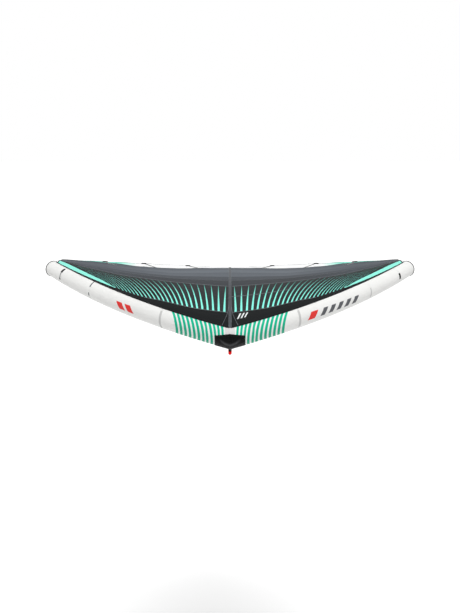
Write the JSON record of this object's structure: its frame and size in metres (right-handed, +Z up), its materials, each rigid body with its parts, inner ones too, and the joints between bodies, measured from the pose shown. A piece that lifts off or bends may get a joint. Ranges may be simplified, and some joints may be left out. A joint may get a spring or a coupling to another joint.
{
  "type": "inflatable wingfoil wing",
  "caption": "Hand-held inflatable wingfoil wing: a swept tapering leading edge tube, a centre strut, a panelled canopy with sewn battens, handles, valve, hose and leash loop.",
  "frame": {"origin": "the centre of the front handle's grip, where the front hand holds the wing", "axes": "+X runs to the wing's right tip (the right-hand side of the picture), +Y aft from the nose to the trailing edge, +Z up out of the canopy"},
  "size_m": [3.1724, 2.2082, 0.4862],
  "materials": {
    "aqua_cloth": "coated ripstop, satin",
    "black_cloth": "woven, matte",
    "black_foam": "foam, matte",
    "black_plastic": "moulded, satin",
    "black_rubber": "satin",
    "black_webbing": "woven webbing, matte",
    "charcoal_cloth": "coated ripstop, satin",
    "clear_bladder": "clear film, glossy",
    "clear_hose": "clear hose, glossy",
    "glass_fibre": "glass fibre rod in its sewn pocket, matte",
    "grey_cloth": "coated ripstop, satin",
    "grey_plastic": "moulded, satin",
    "grey_tape": "woven tape, matte",
    "light_grey_patch": "coated, matte",
    "red_plastic": "moulded, satin",
    "red_webbing": "woven webbing, matte",
    "steel": "stainless, satin",
    "white_cloth": "coated ripstop, satin",
    "white_dacron": "coated sailcloth, satin"
  },
  "bodies": {
    "wing": {"batten_inner_left": "glass_fibre", "batten_inner_right": "glass_fibre", "batten_middle_left": "glass_fibre", "batten_middle_right": "glass_fibre", "batten_outer_left": "glass_fibre", "batten_outer_right": "glass_fibre", "canopy_front_left": "black_cloth", "canopy_front_right": "black_cloth", "canopy_main_left": "charcoal_cloth", "canopy_main_right": "charcoal_cloth", "canopy_rear_left": "grey_cloth", "canopy_rear_right": "grey_cloth", "canopy_tip_left": "aqua_cloth", "canopy_tip_right": "aqua_cloth", "canopy_trailing_left": "white_cloth", "canopy_trailing_right": "white_cloth", "clamp_base": "black_plastic", "front_handle_bar": "black_plastic", "front_handle_grip": "black_foam", "front_handle_pad": "black_rubber", "front_handle_screw_aft": "steel", "front_handle_screw_fore": "steel", "hose_fitting_strut": "black_plastic", "hose_fitting_tube": "black_plastic", "le_bladder": "clear_bladder", "le_sleeve_inner_left": "white_dacron", "le_sleeve_inner_right": "white_dacron", "le_sleeve_middle_left": "white_dacron", "le_sleeve_middle_right": "white_dacron", "le_sleeve_outer_left": "white_dacron", "le_sleeve_outer_right": "white_dacron", "le_sleeve_tip_left": "white_dacron", "le_sleeve_tip_right": "white_dacron", "leash_patch": "black_webbing", "neutral_anchor_front": "black_webbing", "neutral_anchor_rear": "black_webbing", "nose_guard": "black_rubber", "nose_seam_patch": "light_grey_patch", "one_pump_hose": "clear_hose", "rear_handle_bar": "black_plastic", "rear_handle_grip": "black_foam", "rear_handle_pad": "black_rubber", "rear_handle_screw_aft": "steel", "rear_handle_screw_fore": "steel", "spine_tape": "grey_tape", "strut_bladder": "clear_bladder", "strut_end_cap": "black_rubber", "strut_sleeve_front": "white_dacron", "strut_sleeve_rear": "white_dacron", "tip_cap_left": "black_rubber", "tip_cap_right": "black_rubber", "valve_body": "grey_plastic"},
    "neutral_handle": {"neutral_handle_core": "black_webbing", "neutral_handle_wrap": "red_webbing"},
    "valve_cap": {"valve_cap": "black_rubber"},
    "valve_flap": {"valve_flap": "clear_hose"},
    "clamp_lever": {"clamp_lever": "red_plastic"},
    "leash_loop": {"leash_loop": "black_webbing"}
  },
  "joints": [
    {"name": "neutral_handle_swing", "type": "hinge", "parent": "wing", "child": "neutral_handle", "pos_m": [0, -0.55046, -0.10911], "axis": [0, 0.9107, 0.4131], "range_deg": [-60, 60]},
    {"name": "valve_cap_hinge", "type": "hinge", "parent": "wing", "child": "valve_cap", "pos_m": [0.21516, -0.43419, -0.06869], "axis": [-0.8784, -0.462, -0.122], "range_deg": [0, 150]},
    {"name": "valve_flap_hinge", "type": "hinge", "parent": "wing", "child": "valve_flap", "pos_m": [0.21298, -0.43829, -0.03741], "axis": [0.8784, 0.462, 0.122], "range_deg": [0, 50]},
    {"name": "clamp_lever_hinge", "type": "hinge", "parent": "wing", "child": "clamp_lever", "pos_m": [-0.17511, -0.25687, 0.01735], "axis": [-0.9022, 0.064, 0.4266], "range_deg": [0, 70]},
    {"name": "leash_loop_swing", "type": "hinge", "parent": "wing", "child": "leash_loop", "pos_m": [0, -0.17829, 0.04455], "axis": [1, 0, 0], "range_deg": [-60, 60]}
  ]
}
